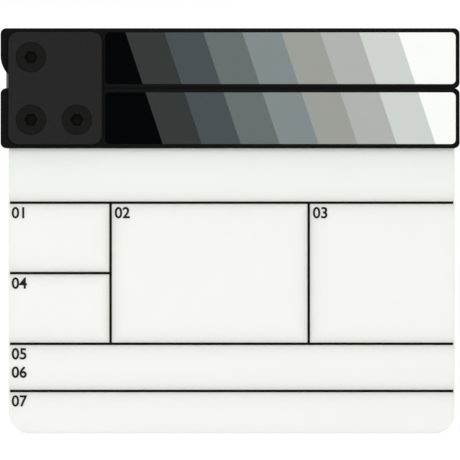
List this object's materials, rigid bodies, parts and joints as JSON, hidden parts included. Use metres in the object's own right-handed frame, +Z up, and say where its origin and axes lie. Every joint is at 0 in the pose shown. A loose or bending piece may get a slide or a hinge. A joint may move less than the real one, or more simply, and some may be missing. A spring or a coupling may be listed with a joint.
{
  "type": "clapperboard",
  "caption": "Film clapperboard: white acrylic writing board with ruled fields in a fixed black stick, and a hinged clapper stick, both with slanted grey steps.",
  "frame": {"origin": "on the board's bottom edge, under the middle of the sticks and at half the board's thickness", "axes": "+Z up along the board, +X to the right as the writing side is seen, +Y to the back"},
  "size_m": [0.28, 0.022, 0.2472],
  "materials": {
    "white_acrylic": "satin",
    "rule_paint": "matte",
    "black_lacquer": "satin",
    "dark_plate": "matte",
    "satin_plate": "satin",
    "black_steel": "satin",
    "bearing_brass": "satin",
    "washer_nylon": "matte",
    "magnet_nickel": "polished",
    "grey_step_1": "satin",
    "grey_step_2": "satin",
    "grey_step_3": "satin",
    "grey_step_4": "satin",
    "grey_step_5": "satin",
    "grey_step_6": "satin",
    "grey_step_7": "satin",
    "grey_step_8": "satin",
    "grey_step_9": "satin"
  },
  "bodies": {
    "slate": {"slate_board": "white_acrylic", "field_rules": "rule_paint", "lower_stick": "black_lacquer", "front_hinge_plate": "dark_plate", "rear_hinge_plate": "satin_plate", "pivot_bolt": "black_steel", "pivot_barrel_nut": "black_steel", "hinge_bolts": "black_steel", "hinge_barrel_nuts": "black_steel", "board_screws": "black_steel", "lower_magnet": "magnet_nickel", "lower_grey_1": "grey_step_1", "lower_grey_2": "grey_step_2", "lower_grey_3": "grey_step_3", "lower_grey_4": "grey_step_4", "lower_grey_5": "grey_step_5", "lower_grey_6": "grey_step_6", "lower_grey_7": "grey_step_7", "lower_grey_8": "grey_step_8", "lower_grey_9": "grey_step_9"},
    "clapper": {"upper_stick": "black_lacquer", "pivot_bush": "bearing_brass", "front_friction_washer": "washer_nylon", "rear_friction_washer": "washer_nylon", "upper_magnet": "magnet_nickel", "upper_grey_1": "grey_step_1", "upper_grey_2": "grey_step_2", "upper_grey_3": "grey_step_3", "upper_grey_4": "grey_step_4", "upper_grey_5": "grey_step_5", "upper_grey_6": "grey_step_6", "upper_grey_7": "grey_step_7", "upper_grey_8": "grey_step_8", "upper_grey_9": "grey_step_9"}
  },
  "joints": [
    {"name": "clap_hinge", "type": "hinge", "parent": "slate", "child": "clapper", "pos_m": [-0.12135, 0, 0.2294], "axis": [0, -1, 0], "range_deg": [0, 90]}
  ]
}
